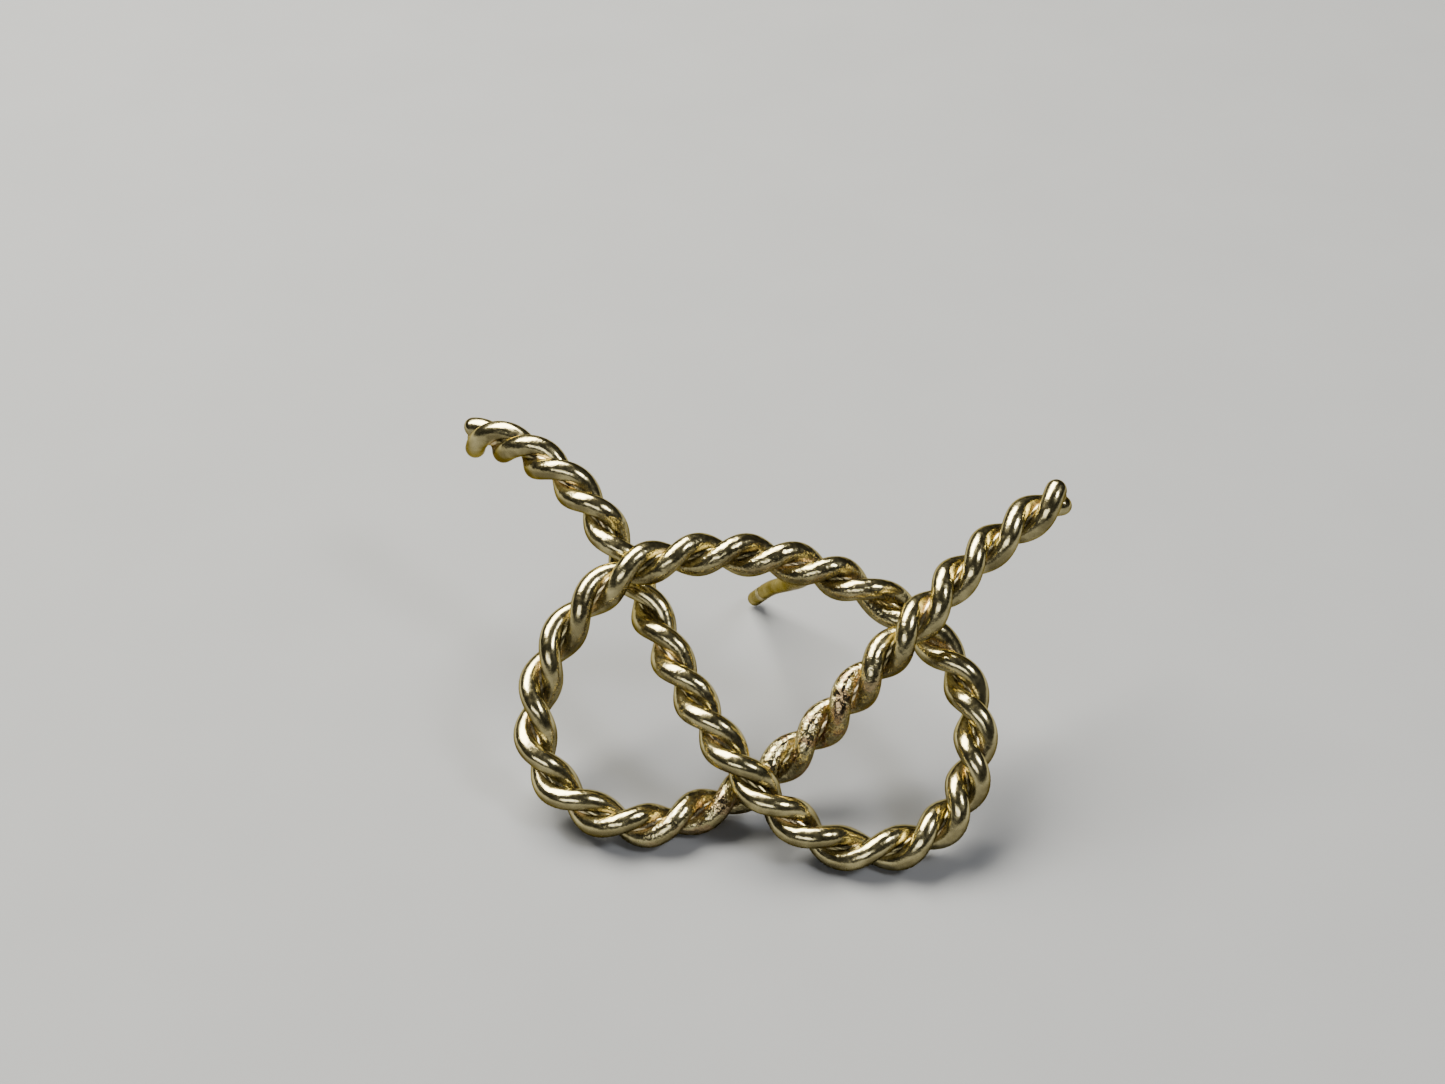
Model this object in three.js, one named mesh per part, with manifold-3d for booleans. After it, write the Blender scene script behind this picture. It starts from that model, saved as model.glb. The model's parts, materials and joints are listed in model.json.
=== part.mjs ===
// Twisted-wire knot stud earring, millimetres, +Z up.
// Two round wires are twisted into a rope, and the rope is bent into an open overhand knot with two
// free ends. An ear post is soldered to the back of the knot's top bar. The earring stands on its two
// lobes and on the tip of its bent post, so the plane of the knot leans back.
// Inside the knot group X runs across the knot, Y up in its plane and Z out of its front.
import * as THREE from 'three';
import { mergeVertices } from 'three/addons/utils/BufferGeometryUtils.js';
import Module from 'manifold-3d';

const wasm = await Module();
wasm.setup();

// Wire and rope
const WIRE_DIAMETER = 1.0;
const WIRE_CLEARANCE = 0.08;            // between the two wires, across the rope's axis
const LAY_LENGTH = 4.95;                // rope length of one full turn of a wire
const FIRST_WIRE_IN_FRONT = 0.3;        // distance from the left end to where wire A first faces front
const WIRE_SIDES = 8;
const STEPS_PER_TURN = 12;
const CENTRELINE_DIVISIONS = 1200;      // for even spacing along the rope

// Ear post
const POST_DIAMETER = 0.8;
const POST_SIDES = 12;
const POST_STEPS = 14;
const NOTCH_FROM_TIP = 1.8;             // groove that a push-on back snaps into
const NOTCH_DEPTH = 0.09;
const NOTCH_WIDTH = 0.5;
const CUTTER_SIDES = 8;

// Solder
const SOLDER_GAP = 0.05;                // clearance between a solder body and the metal it joins
const CROSSING_SOLDER_SIZE = [0.95, 0.95, 0.95];      // half-sizes of a bead
const POST_SOLDER_SIZE = [1.0, 0.8, 0.75];
const BEAD_SEGMENTS = [20, 12];

// How the earring stands
const KNOT_LEAN = THREE.MathUtils.degToRad(40);     // knot plane above horizontal

// Where the rope passes over itself, in the knot plane
const LEFT_CROSSING = [-6.65, 11.7];
const CENTRE_CROSSING = [0, 2.4];
const RIGHT_CROSSING = [7.2, 10.5];
const OVER = 1.12;                      // centreline in front of the knot plane at a crossing
const UNDER = -OVER;

const GOLD = { color: 0xcdb87a, roughness: 0.24, metalness: 1 };
const POST_GOLD = { color: 0xd2c08a, roughness: 0.22, metalness: 1 };
const SOLDER = { color: 0xc09a6a, roughness: 0.42, metalness: 1 };

// The rope's centreline from the left free end to the right free end.
const ROPE_ROUTE = [
  // left free end, curling back, down to the left crossing
  [-16.5, 19.2, -5.3],
  [-14.4, 18.6, -3.2],
  [-11.8, 17.3, -1.5],
  [-9.1, 15.1, -0.9],
  [...LEFT_CROSSING, UNDER],
  // down the left arm, over the centre crossing
  [-4.2, 7.7, 0.3],
  [-1.7, 4.25, 1.0],
  [...CENTRE_CROSSING, OVER],
  // round the right lobe
  [1.95, 0.85, 0.6],
  [4.45, -0.25, 0.0],
  [7.2, 0.05, 0.0],
  [9.4, 1.8, 0.0],
  [10.2, 5.0, -0.1],
  [9.4, 8.1, -0.7],
  [...RIGHT_CROSSING, UNDER],
  // along the top bar to the left crossing
  [4.15, 12.1, -0.3],
  [0.0, 13.0, 0.4],
  [-4.0, 12.7, 0.9],
  [...LEFT_CROSSING, OVER],
  // round the left lobe
  [-8.8, 9.7, 0.6],
  [-10.35, 6.5, 0.1],
  [-10.2, 3.0, 0.0],
  [-8.4, 0.9, 0.0],
  [-5.2, -0.1, 0.0],
  [-2.15, 1.0, -0.8],
  // under the centre crossing, up the right arm and over the right crossing
  [...CENTRE_CROSSING, UNDER],
  [3.15, 5.45, -0.4],
  [5.15, 7.95, 0.6],
  [...RIGHT_CROSSING, OVER],
  [9.0, 13.0, 0.7],
  [10.9, 15.05, 0.3],
  [13.55, 17.35, 0.0],
];

// The ear post's centreline, from its root behind the top bar to its tip.
const POST_ROOT = [1.7, 12.6, -0.9];
const POST_ROUTE = [
  POST_ROOT,
  [1.2, 12.8, -3.5],
  [0.45, 13.15, -6.5],
  [-0.65, 13.35, -9.3],
  [-1.75, 13.2, -12.2],
];

// How unevenly the rope was twisted: distance along it, and how far the turns there have slipped along it.
const TWIST_SLIP = [
  [0, -0.75],
  [5, -0.2],
  [12, -0.2],
  [18, 0.1],
  [30, 0.0],
  [34, 0.35],
  [36, 0.2],
  [40, -0.45],
  [45, -0.5],
  [50.5, 0.35],
  [53, 0.0],
  [61, -0.5],
  [68, 0.1],
  [80, 0.5],
  [88, 0.45],
  [94, -0.05],
  [104, -0.5],
];

function twistSlip(distance) {
  const next = TWIST_SLIP.findIndex(([station]) => station >= distance);
  if (next < 1) {
    return TWIST_SLIP.at(next === 0 ? 0 : -1)[1];
  }
  const [from, slipFrom] = TWIST_SLIP[next - 1];
  const [to, slipTo] = TWIST_SLIP[next];
  return THREE.MathUtils.mapLinear(distance, from, to, slipFrom, slipTo);
}

const toVectors = (points) => points.map((point) => new THREE.Vector3(...point));
const smoothCurve = (points) => new THREE.CatmullRomCurve3(toVectors(points), false, 'centripetal');

const postCentreline = smoothCurve(POST_ROUTE);
const ropeCentreline = smoothCurve(ROPE_ROUTE);
ropeCentreline.arcLengthDivisions = CENTRELINE_DIVISIONS;
const ropeLength = ropeCentreline.getLength();
const strandSteps = Math.round((ropeLength / LAY_LENGTH) * STEPS_PER_TURN);

// One wire of the rope: a left-handed helix about the rope's centreline.
class StrandCurve extends THREE.Curve {
  constructor(startAngle) {
    super();
    this.startAngle = startAngle;
    this.helixRadius = (WIRE_DIAMETER + WIRE_CLEARANCE) / 2;
    this.arcLengthDivisions = CENTRELINE_DIVISIONS;
  }

  getPoint(t, target = new THREE.Vector3()) {
    const tangent = ropeCentreline.getTangentAt(t);
    const front = new THREE.Vector3(0, 0, 1).projectOnPlane(tangent).normalize();
    const side = new THREE.Vector3().crossVectors(tangent, front);
    const distance = t * ropeLength;
    const turns = (distance - twistSlip(distance) - FIRST_WIRE_IN_FRONT) / LAY_LENGTH;
    const angle = this.startAngle - turns * 2 * Math.PI;
    target.copy(ropeCentreline.getPointAt(t));
    target.addScaledVector(front, this.helixRadius * Math.cos(angle));
    return target.addScaledVector(side, this.helixRadius * Math.sin(angle));
  }
}

function roundSection(diameter, sides) {
  const corners = [];
  for (let i = 0; i < sides; i += 1) {
    const angle = (i / sides) * 2 * Math.PI;
    corners.push(new THREE.Vector2(Math.cos(angle), Math.sin(angle)).multiplyScalar(diameter / 2));
  }
  return new THREE.Shape(corners);
}

function wireAlong(path, diameter, sides, steps) {
  const section = roundSection(diameter, sides);
  return new THREE.ExtrudeGeometry(section, { extrudePath: path, steps, bevelEnabled: false });
}

function strandGeometry(startAngle, diameter = WIRE_DIAMETER) {
  return wireAlong(new StrandCurve(startAngle), diameter, WIRE_SIDES, strandSteps);
}

// Booleans
function toSolid(geometry) {
  const bare = geometry.clone();
  bare.deleteAttribute('normal');
  bare.deleteAttribute('uv');
  const merged = mergeVertices(bare, 1e-5);
  const vertProperties = merged.attributes.position.array;
  const triVerts = new Uint32Array(merged.index.array);
  return new wasm.Manifold(new wasm.Mesh({ numProp: 3, vertProperties, triVerts }));
}

function toGeometry(solid) {
  const mesh = solid.getMesh();
  const geometry = new THREE.BufferGeometry();
  geometry.setAttribute('position', new THREE.BufferAttribute(mesh.vertProperties, 3));
  geometry.setIndex(new THREE.BufferAttribute(mesh.triVerts, 1));
  geometry.computeVertexNormals();
  return geometry;
}

function largestBody(solid) {
  const bodies = solid.decompose();
  return bodies.reduce((best, body) => (body.volume() > best.volume() ? body : best));
}

function postSolid(extraDiameter = 0) {
  return toSolid(wireAlong(postCentreline, POST_DIAMETER + extraDiameter, POST_SIDES, POST_STEPS));
}

// The post, with the groove cut round it near its tip.
function earPost() {
  const u = 1 - NOTCH_FROM_TIP / postCentreline.getLength();
  const cutterRadius = NOTCH_WIDTH / 2;
  const ringRadius = POST_DIAMETER / 2 + cutterRadius - NOTCH_DEPTH;
  const cutter = new THREE.TorusGeometry(ringRadius, cutterRadius, CUTTER_SIDES, 2 * POST_SIDES);
  const turn = new THREE.Quaternion().setFromUnitVectors(
    new THREE.Vector3(0, 0, 1),
    postCentreline.getTangentAt(u),
  );
  cutter.applyQuaternion(turn);
  cutter.translate(...postCentreline.getPointAt(u).toArray());
  return toGeometry(postSolid().subtract(toSolid(cutter)));
}

// A bead of solder, cut back from the metal that it joins.
function solderBead(centre, size, metals) {
  const bead = new THREE.SphereGeometry(1, ...BEAD_SEGMENTS);
  bead.scale(...size);
  bead.translate(...centre);
  let solid = toSolid(bead);
  for (const metal of metals) {
    solid = solid.subtract(metal);
  }
  return toGeometry(largestBody(solid));
}

function named(name, geometry, finish) {
  const mesh = new THREE.Mesh(geometry, new THREE.MeshStandardMaterial(finish));
  mesh.name = name;
  return mesh;
}

const clearStrands = [0, Math.PI].map((angle) => {
  return toSolid(strandGeometry(angle, WIRE_DIAMETER + 2 * SOLDER_GAP));
});
const clearPost = postSolid(2 * SOLDER_GAP);

const knot = new THREE.Group();
knot.add(
  named('strand_a', strandGeometry(0), GOLD),
  named('strand_b', strandGeometry(Math.PI), GOLD),
  named('ear_post', earPost(), POST_GOLD),
  named('post_solder', solderBead(POST_ROOT, POST_SOLDER_SIZE, [...clearStrands, clearPost]), SOLDER),
);
const crossings = { left: LEFT_CROSSING, centre: CENTRE_CROSSING, right: RIGHT_CROSSING };
for (const [side, place] of Object.entries(crossings)) {
  const bead = solderBead([...place, 0], CROSSING_SOLDER_SIZE, clearStrands);
  knot.add(named(`${side}_crossing_solder`, bead, SOLDER));
}
knot.rotation.x = KNOT_LEAN;

// Stand the earring on the surface Z = 0, centred over the origin.
const earring = new THREE.Group();
earring.add(knot);
earring.updateMatrixWorld(true);
const box = new THREE.Box3().setFromObject(earring, true);
const middle = box.getCenter(new THREE.Vector3());
earring.position.set(-middle.x, -middle.y, -box.min.z);

export default earring;
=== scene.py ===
"""Looks of a twisted-wire knot stud earring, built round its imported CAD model.

Everything is made in metres, in the CAD model's frame, +Z up. The constants are in millimetres,
and become metres when a mesh or a light is made. The knot's own route is in knot space: X across
the knot, Y up in its plane, Z out of its front.
"""
import json
import math

import bpy
import numpy as np
from mathutils import Matrix, Vector

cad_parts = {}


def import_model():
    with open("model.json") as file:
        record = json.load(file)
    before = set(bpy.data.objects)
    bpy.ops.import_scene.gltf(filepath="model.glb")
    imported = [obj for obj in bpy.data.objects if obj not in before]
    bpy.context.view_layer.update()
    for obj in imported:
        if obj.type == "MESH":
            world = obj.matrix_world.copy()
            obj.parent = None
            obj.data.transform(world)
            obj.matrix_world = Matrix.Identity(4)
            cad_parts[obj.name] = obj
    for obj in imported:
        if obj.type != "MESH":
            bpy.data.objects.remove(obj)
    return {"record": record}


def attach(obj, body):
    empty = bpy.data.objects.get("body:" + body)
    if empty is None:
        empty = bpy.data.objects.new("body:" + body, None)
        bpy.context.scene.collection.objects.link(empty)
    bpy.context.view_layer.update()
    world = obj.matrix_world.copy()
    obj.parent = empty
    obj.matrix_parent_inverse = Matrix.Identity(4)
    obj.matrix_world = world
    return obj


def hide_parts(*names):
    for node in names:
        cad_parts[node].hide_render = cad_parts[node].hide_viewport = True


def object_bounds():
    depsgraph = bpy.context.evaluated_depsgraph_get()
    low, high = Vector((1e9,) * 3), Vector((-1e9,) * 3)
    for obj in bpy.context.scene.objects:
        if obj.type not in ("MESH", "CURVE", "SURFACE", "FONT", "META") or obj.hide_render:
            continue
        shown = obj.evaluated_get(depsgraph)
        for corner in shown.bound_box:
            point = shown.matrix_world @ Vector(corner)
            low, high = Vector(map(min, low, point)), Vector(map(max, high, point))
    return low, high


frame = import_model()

MM = 0.001
CAD_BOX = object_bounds()

# Rope: two wires twisted left-handed
WIRE_RADIUS = 0.519
HELIX_RADIUS = 0.521                  # of a wire's own line about the rope's
LAY_LENGTH = 4.95                     # rope length of one full turn of a wire
FIRST_WIRE_IN_FRONT = 0.3             # from the left end to where wire A first faces front
WEB_RADIUS = 0.35                     # of the metal that has run together between the wires
STATION_SPACING = 0.12                # of rings along the rope
WIRE_SIDES = 36
TIP_ROUNDING = 0.42                   # length of a wire's rounded end
TIP_RINGS = 9
TIP_POINT = 0.004                     # how far a tube's last point stands past its last ring
STEPS_PER_SPAN = 60                   # of a curve, between two points of its route
TANGENT_SAMPLES = 4000                # along the whole rope

# The rope's wires, and the angle about its axis at which each starts
WIRES = {"strand_a": 0.0, "strand_b": math.pi}

# Ear post
POST_RADIUS = 0.4
POST_SPACING = 0.1
NOTCH_FROM_TIP = 1.8                  # groove that a push-on back snaps into
NOTCH_DEPTH = 0.09
NOTCH_HALF_WIDTH = 0.2
POST_TIP_ROUNDING = 0.25
POST_ROOT_ROUNDING = 0.01

# Solder
SOLDER_GRID = 0.055                   # spacing of the grid that its surface is found on
SOLDER_MARGIN = 0.3                   # of that grid, past the solder
SOLDER_FILLET = 0.34                  # how far the metal creeps up between wires
LEAST_FILLET = 1e-4
SOLDER_DIP = 0.03                     # how deep its surface lies in the wires where it has run out
SOLDER_REACH = 1.45                   # from a crossing's middle to where the fillet has run out
POST_SOLDER_REACH = 1.5
WIRE_LINE_SPACING = 0.08              # of the points of a wire's line that solder is measured from
POST_LINE_SPACING = 0.05
POST_LINE_LENGTH = 4.0                # from the post's root
HEAT_REACH = 1.9                      # from a joint to where the torch's tint has mostly faded

# How the earring stands
KNOT_LEAN = math.radians(40)          # knot plane above horizontal

# Where the rope passes over itself, in the knot plane
LEFT_CROSSING = (-6.65, 11.7)
CENTRE_CROSSING = (0.0, 2.4)
RIGHT_CROSSING = (7.2, 10.5)
OVER = 1.12
UNDER = -OVER

# The rope's centreline from the left free end to the right free end, as in the CAD model
ROPE_ROUTE = [
    # left free end, curling back, down to the left crossing
    (-16.5, 19.2, -5.3),
    (-14.4, 18.6, -3.2),
    (-11.8, 17.3, -1.5),
    (-9.1, 15.1, -0.9),
    (*LEFT_CROSSING, UNDER),
    # down the left arm, over the centre crossing
    (-4.2, 7.7, 0.3),
    (-1.7, 4.25, 1.0),
    (*CENTRE_CROSSING, OVER),
    # round the right lobe
    (1.95, 0.85, 0.6),
    (4.45, -0.25, 0.0),
    (7.2, 0.05, 0.0),
    (9.4, 1.8, 0.0),
    (10.2, 5.0, -0.1),
    (9.4, 8.1, -0.7),
    (*RIGHT_CROSSING, UNDER),
    # along the top bar to the left crossing
    (4.15, 12.1, -0.3),
    (0.0, 13.0, 0.4),
    (-4.0, 12.7, 0.9),
    (*LEFT_CROSSING, OVER),
    # round the left lobe
    (-8.8, 9.7, 0.6),
    (-10.35, 6.5, 0.1),
    (-10.2, 3.0, 0.0),
    (-8.4, 0.9, 0.0),
    (-5.2, -0.1, 0.0),
    (-2.15, 1.0, -0.8),
    # under the centre crossing, up the right arm and over the right crossing
    (*CENTRE_CROSSING, UNDER),
    (3.15, 5.45, -0.4),
    (5.15, 7.95, 0.6),
    (*RIGHT_CROSSING, OVER),
    (9.0, 13.0, 0.7),
    (10.9, 15.05, 0.3),
    (13.55, 17.35, 0.0),
]

# How unevenly the rope was twisted: distance along it, and how far the turns there have slipped
TWIST_SLIP = [
    (0, -0.75), (5, -0.2), (12, -0.2), (18, 0.1), (30, 0.0), (34, 0.35),
    (36, 0.2), (40, -0.45), (45, -0.5), (50.5, 0.35), (53, 0.0), (61, -0.5),
    (68, 0.1), (80, 0.5), (88, 0.45), (94, -0.05), (104, -0.5),
]

# How dented, pitted and scorched the wires are: distance along the rope, and share
WORN = [
    (4, 0.1), (6, 0.5), (9, 0.2), (11.5, 0.5), (14, 0.1), (19, 0.4), (24, 0.15),
    (28, 0.1), (34, 0.3), (38, 0.1), (46, 0.1), (49, 0.6), (56, 0.65), (61, 0.3),
    (66, 0.1), (76, 0.15), (79, 0.7), (85, 1.0), (91, 0.9), (94, 0.3), (104, 0.2),
]

# The ear post's centreline, from its root behind the top bar to its tip
POST_ROUTE = [
    (1.7, 12.6, -0.9),
    (1.2, 12.8, -3.5),
    (0.45, 13.15, -6.5),
    (-0.65, 13.35, -9.3),
    (-1.75, 13.2, -12.2),
]

# How deep in a groove a surface counts as: 0 on a wire's outer side, 1 on the rope's axis. Deeper
# surfaces get more painted shade
WEB_DEPTH = 0.8
SOLDER_DEPTH = 0.75
NOTCH_SHADE_DEPTH = 0.7

# The z of a surface's direction where the painted shade of the undersides starts, and where it is
# full
UNDERSIDE_FROM = 0.68
UNDERSIDE_FULL = 0.1

# Roughness that specks add to the polished metal, and that is added where shade is painted
SPECK_ROUGHNESS = 0.09
SHADE_ROUGHNESS = 0.1

# Relief of the metal: how far apart its bumps are, and how deep
HAND_WAVES = (0.9, 0.035)
RIPPLES = (0.35, 0.007)
PITS = (0.22, 0.035)
DENTS = (0.42, 0.085)

# Floor and studio
FLOOR_HALF = 1200
FLOOR_GREYS = (0.30, 0.31, 0.33), (0.325, 0.335, 0.357)
STUDIO_GLOW = (0.02, 0.02, 0.0194)

# Camera: aims at a point of the floor, measured from the centre of the earring's footprint
CAMERA_AIM = (-2.67, 14.28)
CAMERA_DISTANCE = 118.3
CAMERA_PITCH = math.radians(38.2)     # looking down
CAMERA_YAW = math.radians(7.27)       # turned towards -X
CAMERA_LENS = 53.3
SENSOR_WIDTH = 36.0
NEAREST_SEEN = 5.0


# Curves -------------------------------------------------------------------------------------------

def unit(vectors):
    return vectors / np.linalg.norm(vectors, axis=-1, keepdims=True)


def smooth_curve(route):
    """Centripetal Catmull-Rom curve through the route, as in the CAD model, in many short steps."""
    route = np.array(route, float)
    padded = np.vstack([2 * route[0] - route[1], route, 2 * route[-1] - route[-2]])
    t = np.linspace(0, 1, STEPS_PER_SPAN, endpoint=False)[:, None]
    spans = []
    for before, start, end, after in zip(padded, padded[1:], padded[2:], padded[3:]):
        rise = end - start
        gap_before, gap, gap_after = (
            math.sqrt(np.linalg.norm(step)) for step in (start - before, rise, after - end)
        )
        slope = (start - before) / gap_before - (end - before) / (gap_before + gap) + rise / gap
        end_slope = rise / gap - (after - start) / (gap + gap_after) + (after - end) / gap_after
        leave = slope * gap
        arrive = end_slope * gap
        square = 3 * rise - 2 * leave - arrive
        cube = leave + arrive - 2 * rise
        spans.append(start + t * leave + t**2 * square + t**3 * cube)
    return np.vstack([*spans, route[-1:]])


def rope_length():
    return lengths_along(smooth_curve(ROPE_ROUTE))[-1]


def lengths_along(points):
    steps = np.linalg.norm(np.diff(points, axis=0), axis=1)
    return np.concatenate([[0.0], np.cumsum(steps)])


def sample(points, stations):
    """Points of a dense curve at the given distances along it."""
    along = lengths_along(points)
    return np.stack([np.interp(stations, along, axis) for axis in points.T], axis=1)


def tangents(points):
    return unit(np.gradient(points, axis=0))


def stations_with_round_tips(length, spacing, first_tip, last_tip):
    """Distances from 0 to length: closer together where the ends are rounded."""
    quarter = np.linspace(0, math.pi / 2, TIP_RINGS, endpoint=False)[1:]
    first = first_tip * (1 - np.cos(quarter))
    last = length - last_tip * (1 - np.cos(quarter[::-1]))
    rings = round((length - first_tip - last_tip) / spacing)
    middle = np.linspace(first_tip, length - last_tip, rings)
    return np.concatenate([first, middle, last])


def round_tips(stations, length, first_tip, last_tip):
    """Share of the full radius at each station, falling to nothing at rounded ends."""
    nearest = np.clip((length - stations) / last_tip, 0, 1)
    if first_tip:
        nearest = np.minimum(nearest, np.clip(stations / first_tip, 0, 1))
    return np.sqrt(1 - (1 - nearest) ** 2)


# Placing knot space in the row frame: the post's tip is where the record's mount says
TO_ROW = Matrix.Rotation(KNOT_LEAN, 3, "X")
POST_TIP = Vector(frame["record"]["mounts"][0]["pos_m"])
KNOT_ORIGIN = POST_TIP - TO_ROW @ (Vector(POST_ROUTE[-1]) * MM)


def in_row_frame(points):
    return np.asarray(points) * MM @ np.array(TO_ROW).T + np.array(KNOT_ORIGIN)


# Meshes -------------------------------------------------------------------------------------------

def new_piece(name, vertices, faces):
    """A smoothly shaded object from points in knot space."""
    mesh = bpy.data.meshes.new(name)
    mesh.from_pydata(in_row_frame(vertices).tolist(), [], faces)
    mesh.validate()
    mesh.polygons.foreach_set("use_smooth", [True] * len(mesh.polygons))
    piece = bpy.data.objects.new(name, mesh)
    bpy.context.scene.collection.objects.link(piece)
    return piece


def paint(piece, name, values):
    """Stores one number for each vertex, for the material to read."""
    attribute = piece.data.attributes.new(name, "FLOAT", "POINT")
    attribute.data.foreach_set("value", np.asarray(values, np.float32))


def tube(name, line, outward, radii, sides):
    """A closed tube along a line, with UVs in millimetres along it and round it.

    outward says for each point of the line which way angle 0 faces; the seam is on the far side.
    Returns the object, the vertices' angles and the vertices.
    """
    along = tangents(line)
    outward = unit(outward - np.sum(outward * along, axis=1, keepdims=True) * along)
    across = np.cross(along, outward)
    angles = np.arange(sides) / sides * 2 * math.pi - math.pi
    cosines = np.cos(angles)[None, :, None]
    sines = np.sin(angles)[None, :, None]
    ring = outward[:, None] * cosines + across[:, None] * sines
    vertices = (line[:, None] + ring * np.asarray(radii)[:, None, None]).reshape(-1, 3)
    first_end = line[0] - along[0] * TIP_POINT
    last_end = line[-1] + along[-1] * TIP_POINT
    vertices = np.vstack([vertices, first_end, last_end])
    rings = len(line)
    faces = []
    for i in range(rings - 1):
        for j in range(sides):
            k = (j + 1) % sides
            near, far = i * sides, (i + 1) * sides
            faces.append((near + j, near + k, far + k, far + j))
    first_pole = rings * sides
    last_pole = first_pole + 1
    for j in range(sides):
        k = (j + 1) % sides
        faces.append((first_pole, k, j))
        faces.append((last_pole, (rings - 1) * sides + j, (rings - 1) * sides + k))
    piece = new_piece(name, vertices, faces)
    unwrap(piece, sides, lengths_along(line), np.max(radii))
    return piece, np.append(np.tile(angles, rings), [0, 0]), vertices


def unwrap(piece, sides, distances, radius):
    """UVs of a tube, in millimetres: along it, and round it from its seam."""
    layer = piece.data.uv_layers.new(name="wire")
    rings = len(distances)
    uvs = []
    for polygon in piece.data.polygons:
        columns = [v % sides for v in polygon.vertices if v < rings * sides]
        wraps = max(columns) - min(columns) > 1
        for v in polygon.vertices:
            if v >= rings * sides:
                row = 0 if v == rings * sides else rings - 1
                column = columns[0] + 0.5
            else:
                row, column = divmod(v, sides)
                if wraps and column == 0:
                    column = sides
            uvs += [distances[row], column / sides * 2 * math.pi * radius]
    layer.data.foreach_set("uv", uvs)


def rope_line(start_angle, stations):
    """Line of one wire of the rope at distances along the rope, and the rope's own line there."""
    rope = smooth_curve(ROPE_ROUTE)
    centre = sample(rope, stations)
    fine = np.linspace(0, rope_length(), TANGENT_SAMPLES)
    fine_tangents = tangents(sample(rope, fine))
    tangent = unit(np.stack([np.interp(stations, fine, axis) for axis in fine_tangents.T], axis=1))
    front = unit(np.array([0.0, 0.0, 1.0]) - tangent * tangent[:, 2:3])
    side = np.cross(tangent, front)
    slip = np.interp(stations, *zip(*TWIST_SLIP))
    turns = (stations - slip - FIRST_WIRE_IN_FRONT) / LAY_LENGTH
    angle = (start_angle - turns * 2 * math.pi)[:, None]
    return centre + HELIX_RADIUS * (np.cos(angle) * front + np.sin(angle) * side), centre


def rope_stations():
    return stations_with_round_tips(rope_length(), STATION_SPACING, TIP_ROUNDING, TIP_ROUNDING)


def strand(name, start_angle):
    """One wire of the rope, all the way along it."""
    stations = rope_stations()
    line, centre = rope_line(start_angle, stations)
    radii = WIRE_RADIUS * round_tips(stations, rope_length(), TIP_ROUNDING, TIP_ROUNDING)
    piece, angles, vertices = tube(name, line, line - centre, radii, WIRE_SIDES)
    paint(piece, "groove", (1 - np.cos(angles)) / 2)
    paint(piece, "heat", heat(vertices))
    worn = np.interp(stations, *zip(*WORN))
    paint(piece, "worn", np.append(np.repeat(worn, WIRE_SIDES), [0, 0]))
    return piece


def web(name):
    """Metal that has run together along the rope's axis and fills the bottoms of its grooves."""
    stations = rope_stations()
    line, centre = rope_line(0.0, stations)
    radii = WEB_RADIUS * round_tips(stations, rope_length(), TIP_ROUNDING, TIP_ROUNDING)
    piece, _, vertices = tube(name, centre, line - centre, radii, WIRE_SIDES)
    paint(piece, "groove", np.full(len(vertices), WEB_DEPTH))
    paint(piece, "heat", heat(vertices))
    return piece


def post_radius(stations, length):
    """The post's radius along it: a shallow groove near the tip, and a rounded tip."""
    from_notch = np.abs(length - NOTCH_FROM_TIP - stations) / NOTCH_HALF_WIDTH
    notch = NOTCH_DEPTH * np.clip(1 - from_notch**2, 0, 1) ** 0.5
    return (POST_RADIUS - notch) * round_tips(stations, length, 0, POST_TIP_ROUNDING)


def ear_post(name):
    curve = smooth_curve(POST_ROUTE)
    length = lengths_along(curve)[-1]
    stations = stations_with_round_tips(length, POST_SPACING, POST_ROOT_ROUNDING, POST_TIP_ROUNDING)
    line = sample(curve, stations)
    sideways = np.tile([1.0, 0.0, 0.0], (len(line), 1))
    piece, _, vertices = tube(name, line, sideways, post_radius(stations, length), WIRE_SIDES)
    in_notch = np.abs(length - NOTCH_FROM_TIP - lengths_along(line)) < NOTCH_HALF_WIDTH
    # the notch counts as deep in a groove, so shade is painted in it
    paint(piece, "groove", np.append(np.repeat(in_notch * NOTCH_SHADE_DEPTH, WIRE_SIDES), [0, 0]))
    paint(piece, "heat", heat(vertices))
    return piece


# Solder -------------------------------------------------------------------------------------------

JOINTS = {
    "left_crossing_solder": (*LEFT_CROSSING, 0.0),
    "centre_crossing_solder": (*CENTRE_CROSSING, 0.0),
    "right_crossing_solder": (*RIGHT_CROSSING, 0.0),
    "post_solder": POST_ROUTE[0],
}

def heat(vertices):
    """How strongly the torch has tinted the metal: 1 at a solder joint, 0 far from it."""
    tint = np.zeros(len(vertices))
    for place in JOINTS.values():
        distance = np.linalg.norm(vertices - np.array(place), axis=1)
        tint = np.maximum(tint, np.exp(-((distance / HEAT_REACH) ** 2)))
    return tint


def distance_to_line(points, line):
    """Distance from each point to the nearest of a line's closely spaced points."""
    nearest = np.full(len(points), np.inf)
    for place in line:
        nearest = np.minimum(nearest, np.sum((points - place) ** 2, axis=1))
    return np.sqrt(nearest)


def blended(distances, reach):
    """Smooth minimum of several distances: the fillet between them is about as wide as reach."""
    total = distances[0]
    for other in distances[1:]:
        share = np.clip(0.5 + 0.5 * (other - total) / reach, 0, 1)
        total = other + (total - other) * share - reach * share * (1 - share)
    return total


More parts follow.
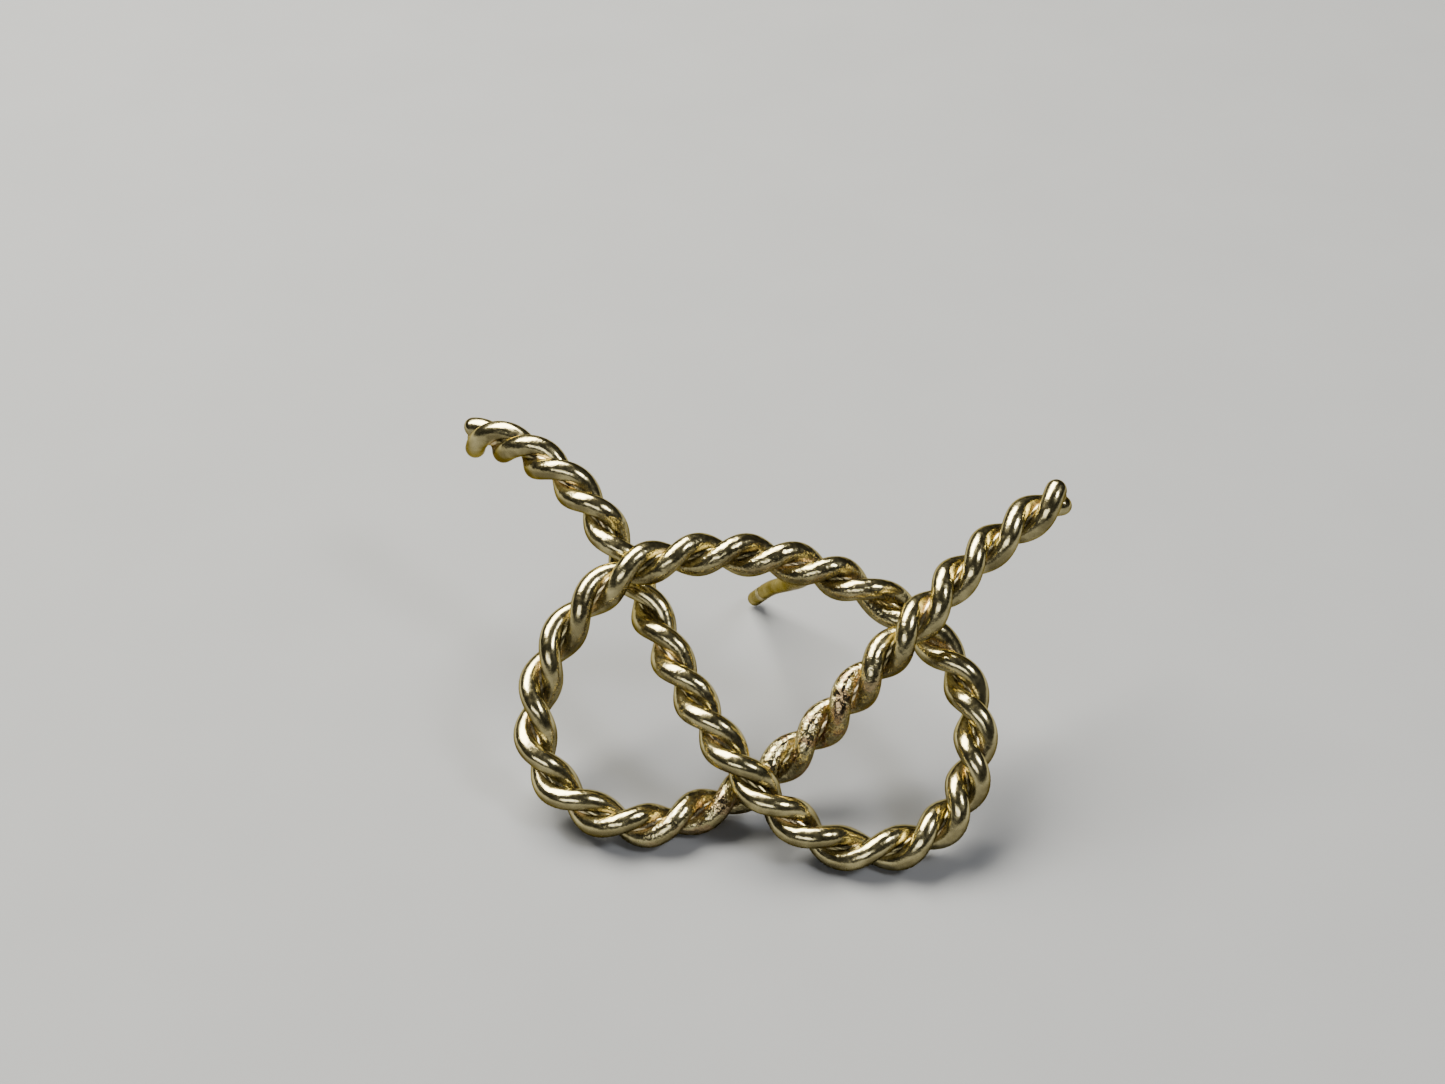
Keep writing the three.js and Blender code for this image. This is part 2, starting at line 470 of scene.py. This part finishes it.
def surface_of(values, corner, spacing):
    """Closed mesh of the surface where a grid of values passes 0.

    It has one vertex in each cell that the surface crosses, at the mean of its crossings of edges.
    """
    inside = values < 0
    cell_corners = [(i, j, k) for i in (0, 1) for j in (0, 1) for k in (0, 1)]
    size = np.array(values.shape) - 1

    def shifted(grid, step):
        i, j, k = step
        return grid[i:size[0] + i, j:size[1] + j, k:size[2] + k]

    count = sum(shifted(inside, c).astype(int) for c in cell_corners)
    crossed = (count > 0) & (count < 8)
    index = np.full(crossed.shape, -1)
    index[crossed] = np.arange(crossed.sum())
    total = np.zeros((*crossed.shape, 3))
    edges = np.zeros(crossed.shape)
    base = np.stack(np.meshgrid(*(np.arange(n) for n in size), indexing="ij"), axis=-1)
    for a in cell_corners:
        for axis in range(3):
            if a[axis]:
                continue
            b = tuple(1 if n == axis else a[n] for n in range(3))
            value_a, value_b = shifted(values, a), shifted(values, b)
            hit = (value_a < 0) != (value_b < 0)
            share = np.where(hit, value_a / np.where(hit, value_a - value_b, 1), 0)
            place = base + np.array(a) + share[..., None] * np.eye(3)[axis]
            total += np.where(hit[..., None], place, 0)
            edges += hit
    vertices = corner + spacing * total[crossed] / edges[crossed][:, None]
    faces = []
    for axis in range(3):
        u, v = (axis + 1) % 3, (axis + 2) % 3
        low = np.moveaxis(inside, (axis, u, v), (0, 1, 2))[:-1, 1:-1, 1:-1]
        high = np.moveaxis(inside, (axis, u, v), (0, 1, 2))[1:, 1:-1, 1:-1]
        cells = np.moveaxis(index, (axis, u, v), (0, 1, 2))
        for i, j, k in np.argwhere(low != high):
            corners = (j, k), (j + 1, k), (j + 1, k + 1), (j, k + 1)
            quad = [int(cells[i, row, column]) for row, column in corners]
            faces.append(quad if low[i, j, k] else quad[::-1])
    return vertices, faces


def solder_joint(name, lines, radii, reach):
    """Solder that has crept between the wires near a joint, and dips into them away from it."""
    place = np.array(JOINTS[name])
    half = reach + SOLDER_MARGIN
    ticks = np.arange(-half, half + SOLDER_GRID, SOLDER_GRID)
    grid = np.stack(np.meshgrid(ticks, ticks, ticks, indexing="ij"), axis=-1)
    points = grid.reshape(-1, 3) + place
    away = np.linalg.norm(points - place, axis=1) / reach
    near = np.clip(1 - away, 0, 1)
    distances = []
    for line, radius in zip(lines, radii):
        close = line[np.linalg.norm(line - place, axis=1) < 2 * reach]
        distances.append(distance_to_line(points, close) - radius)
    joined = blended(distances, SOLDER_FILLET * near**0.5 + LEAST_FILLET)
    ball = (away - 1) * reach
    values = np.maximum(joined + SOLDER_DIP * away, ball).reshape(grid.shape[:3])
    vertices, faces = surface_of(values, place + ticks[0], SOLDER_GRID)
    piece = new_piece(f"{name}_fillet", vertices, faces)
    paint(piece, "groove", np.full(len(vertices), SOLDER_DEPTH))
    paint(piece, "heat", heat(vertices))
    return piece


# Materials ----------------------------------------------------------------------------------------

PALE_GOLD = (0.78, 0.69, 0.37)
WORN_GOLD = (0.62, 0.54, 0.28)
EDGE_TINT = (0.42, 0.35, 0.18)        # at grazing angles
OLIVE_PAINTED_SHADE = (0.12, 0.10, 0.047)   # painted shade on the undersides and between the wires
PEACH_GOLD = (0.74, 0.60, 0.36)       # metal that has run together between the wires
BURNT_BROWN = (0.27, 0.17, 0.095)     # scorched patches where the wires are pitted
COPPER_TINT = (0.70, 0.43, 0.27)      # where the torch has been


class Shading:
    """A material's nodes, made and joined by short calls."""

    def __init__(self, name):
        self.material = bpy.data.materials.new(name)
        self.material.use_nodes = True
        self.tree = self.material.node_tree
        self.shader = self.tree.nodes["Principled BSDF"]

    def node(self, kind, settings=(), **inputs):
        made = self.tree.nodes.new(kind)
        for setting, value in dict(settings).items():
            setattr(made, setting, value)
        for socket, value in inputs.items():
            self.feed(made.inputs[socket.replace("_", " ")], value)
        return made

    def feed(self, socket, value):
        if isinstance(value, bpy.types.NodeSocket):
            self.tree.links.new(value, socket)
        else:
            socket.default_value = value

    def painted(self, name):
        return self.node("ShaderNodeAttribute", {"attribute_name": name}).outputs["Fac"]

    def maths(self, operation, a, b):
        made = self.node("ShaderNodeMath", {"operation": operation, "use_clamp": True})
        self.feed(made.inputs[0], a)
        self.feed(made.inputs[1], b)
        return made.outputs[0]

    def between(self, value, low, high, to_low=0.0, to_high=1.0):
        made = self.node(
            "ShaderNodeMapRange",
            {"interpolation_type": "SMOOTHSTEP"},
            Value=value,
            From_Min=low,
            From_Max=high,
            To_Min=to_low,
            To_Max=to_high,
        )
        return made.outputs[0]

    def both(self, a, b):
        return self.maths("MULTIPLY", a, b)

    def mix(self, share, a, b):
        made = self.node("ShaderNodeMix", {"data_type": "RGBA"})
        first, second = (socket for socket in made.inputs if socket.type == "RGBA")
        self.feed(made.inputs["Factor"], share)
        self.feed(first, a)
        self.feed(second, b)
        return next(socket for socket in made.outputs if socket.type == "RGBA")

    def noise(self, feature_size, detail=3.0, seed=0.0, stretch=(1, 1, 1), uv=None):
        """Noise whose features are about feature_size millimetres across."""
        if uv:
            place = self.node("ShaderNodeUVMap", {"uv_map": uv}).outputs[0]
            scale = 1 / feature_size
        else:
            place = self.node("ShaderNodeTexCoord").outputs["Object"]
            scale = 1 / (feature_size * MM)
        shift = (seed, seed, seed)
        moved = self.node("ShaderNodeMapping", Vector=place, Location=shift, Scale=stretch)
        made = self.node(
            "ShaderNodeTexNoise",
            Vector=moved.outputs[0],
            Scale=scale,
            Detail=detail,
            Roughness=0.55,
        )
        return made.outputs["Fac"]

    def bump(self, height, depth, below=None):
        """Relief of the given depth in millimetres, on top of another bump."""
        made = self.node("ShaderNodeBump", Height=height, Distance=depth * MM, Strength=1.0)
        if below:
            self.feed(made.inputs["Normal"], below)
        return made.outputs[0]


def colour(rgb):
    return (*rgb, 1.0)


def gold(name, polish, shade_share, lines):
    """Pale yellow gold: olive painted shade on undersides and flanks, peach in the grooves, coppery
    near solder.

    polish is the roughness of a clean crest, shade_share the share of olive painted shade where it
    is fullest, and lines the depth of the drawing lines along the wire.
    """
    s = Shading(name)
    depth = s.painted("groove")
    heated = s.painted("heat")
    worn = s.painted("worn")
    patches = s.noise(1.3, seed=3.0)
    specks = s.noise(PITS[0], detail=4.0, seed=7.0)
    flows = s.noise(1.7, seed=17.0)
    scorches = s.noise(0.8, seed=29.0)

    # Painted shade: olive darkening, in random patches, where a surface faces down or lies deep
    # between the wires
    shade_places = s.maths("MAXIMUM", s.painted("underside"), s.between(depth, 0.5, 0.8, 0.0, 0.8))
    painted_shade = s.both(s.both(shade_places, s.between(patches, 0.25, 0.65, 0.6, 1.0)), shade_share)
    run_together = s.both(s.between(depth, 0.6, 0.85), s.between(flows, 0.45, 0.65))
    torch = s.both(heated, s.between(patches, 0.38, 0.68))
    torch = s.both(torch, s.between(depth, 0.2, 0.7, 0.25, 1.0))
    burnt = s.both(s.between(scorches, 0.47, 0.6, 0.0, 0.85), s.between(worn, 0.5, 1.0))

    tone = s.mix(s.between(patches, 0.3, 0.75), colour(PALE_GOLD), colour(WORN_GOLD))
    # mixes in the olive painted shade
    tone = s.mix(painted_shade, tone, colour(OLIVE_PAINTED_SHADE))
    tone = s.mix(run_together, tone, colour(PEACH_GOLD))
    tone = s.mix(torch, tone, colour(COPPER_TINT))
    tone = s.mix(burnt, tone, colour(BURNT_BROWN))
    s.feed(s.shader.inputs["Base Color"], tone)
    s.shader.inputs["Metallic"].default_value = 1.0
    s.shader.inputs["Specular Tint"].default_value = colour(EDGE_TINT)
    scratched = s.between(specks, 0.35, 0.75, polish, polish + SPECK_ROUGHNESS)
    s.feed(s.shader.inputs["Roughness"], s.maths("ADD", scratched, s.both(painted_shade, SHADE_ROUGHNESS)))

    relief = s.bump(s.noise(HAND_WAVES[0], detail=1.0, seed=11.0), HAND_WAVES[1])
    relief = s.bump(s.noise(RIPPLES[0], detail=2.0, seed=5.0), RIPPLES[1], relief)
    pitted = s.maths("MAXIMUM", heated, s.between(worn, 0.7, 1.1))
    relief = s.bump(s.both(s.between(specks, 0.53, 0.66), pitted), -PITS[1], relief)
    relief = s.bump(s.both(s.noise(DENTS[0], detail=3.0, seed=23.0), worn), DENTS[1], relief)
    if lines:
        drawn = s.noise(1.0, detail=2.0, stretch=(0.35, 16.0, 1.0), uv="wire")
        relief = s.bump(drawn, lines, relief)
    s.feed(s.shader.inputs["Normal"], relief)
    return s.material


def floor_material():
    s = Shading("pale_floor")
    darker, lighter = FLOOR_GREYS
    tone = s.mix(s.noise(9.0, detail=2.0), colour(darker), colour(lighter))
    s.feed(s.shader.inputs["Base Color"], tone)
    s.shader.inputs["Roughness"].default_value = 0.85
    return s.material


def underside(piece):
    """How much each vertex faces down: 0 on the top, 1 on the underside, which gets the most
    painted shade.
    """
    normals = np.empty(3 * len(piece.data.vertices))
    piece.data.vertices.foreach_get("normal", normals)
    upwards = normals[2::3]
    share = np.clip((UNDERSIDE_FROM - upwards) / (UNDERSIDE_FROM - UNDERSIDE_FULL), 0, 1)
    return share * share * (3 - 2 * share)


def finish_piece(piece, material, slot, *nodes):
    # facing-down share, read by the material to paint shade on the undersides
    paint(piece, "underside", underside(piece))
    piece.data.materials.clear()
    piece.data.materials.append(material)
    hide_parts(*nodes)
    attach(piece, "root")


# Stage --------------------------------------------------------------------------------------------

def floor():
    half = FLOOR_HALF * MM
    corners = [(-half, -half, 0), (half, -half, 0), (half, half, 0), (-half, half, 0)]
    mesh = bpy.data.meshes.new("floor")
    mesh.from_pydata(corners, [], [(0, 1, 2, 3)])
    mesh.materials.append(floor_material())
    ground = bpy.data.objects.new("floor", mesh)
    bpy.context.scene.collection.objects.link(ground)


def softbox(name, place, size, power, tint=(1.0, 1.0, 1.0)):
    """A rectangular light at a place in millimetres, facing the middle of the earring."""
    light = bpy.data.lights.new(name, "AREA")
    light.shape = "RECTANGLE"
    light.size, light.size_y = (side * MM for side in size)
    light.energy = power
    light.color = tint
    lamp = bpy.data.objects.new(name, light)
    lamp.location = Vector(place) * MM
    lamp.rotation_euler = (-lamp.location).to_track_quat("-Z", "Y").to_euler()
    bpy.context.scene.collection.objects.link(lamp)


def world():
    """A faint even glow all round."""
    surroundings = bpy.data.worlds.new("studio")
    surroundings.use_nodes = True
    background = surroundings.node_tree.nodes["Background"]
    background.inputs["Color"].default_value = colour(STUDIO_GLOW)
    bpy.context.scene.world = surroundings


def camera():
    lens = bpy.data.cameras.new("camera")
    lens.lens = CAMERA_LENS
    lens.sensor_fit = "HORIZONTAL"
    lens.sensor_width = SENSOR_WIDTH
    lens.clip_start = NEAREST_SEEN * MM
    viewer = bpy.data.objects.new("camera", lens)
    middle = (CAD_BOX[0] + CAD_BOX[1]) / 2
    aim = Vector((middle.x, middle.y, CAD_BOX[0].z)) + Vector((*CAMERA_AIM, 0)) * MM
    tilt = Matrix.Rotation(math.pi / 2 - CAMERA_PITCH, 3, "X")
    turn = Matrix.Rotation(CAMERA_YAW, 3, "Z") @ tilt
    back = turn @ Vector((0, 0, 1))
    viewer.matrix_world = Matrix.Translation(aim + back * CAMERA_DISTANCE * MM) @ turn.to_4x4()
    bpy.context.scene.collection.objects.link(viewer)
    bpy.context.scene.camera = viewer


# Making it all ------------------------------------------------------------------------------------

camera()
floor()
world()
softbox("key_light", place=(-130, 110, 270), size=(310, 180), power=3.4, tint=(1.0, 0.955, 0.83))
softbox("fill_light", place=(190, -60, 240), size=(70, 70), power=0.4)
softbox("front_light", place=(-60, -260, 160), size=(200, 80), power=0.18)

rope_gold = gold("rope_gold", polish=0.155, shade_share=0.95, lines=0.0008)
post_gold = gold("post_gold", polish=0.17, shade_share=0.7, lines=0.0012)
solder_metal = gold("solder_metal", polish=0.26, shade_share=0.7, lines=0)

for wire_name, wire_angle in WIRES.items():
    finish_piece(strand(f"{wire_name}_wire", wire_angle), rope_gold, "rope_wire", wire_name)
finish_piece(web("wire_web"), rope_gold, "rope_wire", *WIRES)
finish_piece(ear_post("ear_post_wire"), post_gold, "post_wire", "ear_post")

wire_places = np.arange(0, rope_length(), WIRE_LINE_SPACING)
wire_lines = [rope_line(wire_angle, wire_places)[0] for wire_angle in WIRES.values()]
wire_radii = [WIRE_RADIUS] * len(WIRES)
for crossing in ("left_crossing_solder", "centre_crossing_solder", "right_crossing_solder"):
    joint = solder_joint(crossing, wire_lines, wire_radii, SOLDER_REACH)
    finish_piece(joint, solder_metal, "solder", crossing)
post_places = np.arange(0, POST_LINE_LENGTH, POST_LINE_SPACING)
post_line = sample(smooth_curve(POST_ROUTE), post_places)
root = solder_joint(
    "post_solder", [*wire_lines, post_line], [*wire_radii, POST_RADIUS], POST_SOLDER_REACH
)
finish_piece(root, solder_metal, "solder", "post_solder")
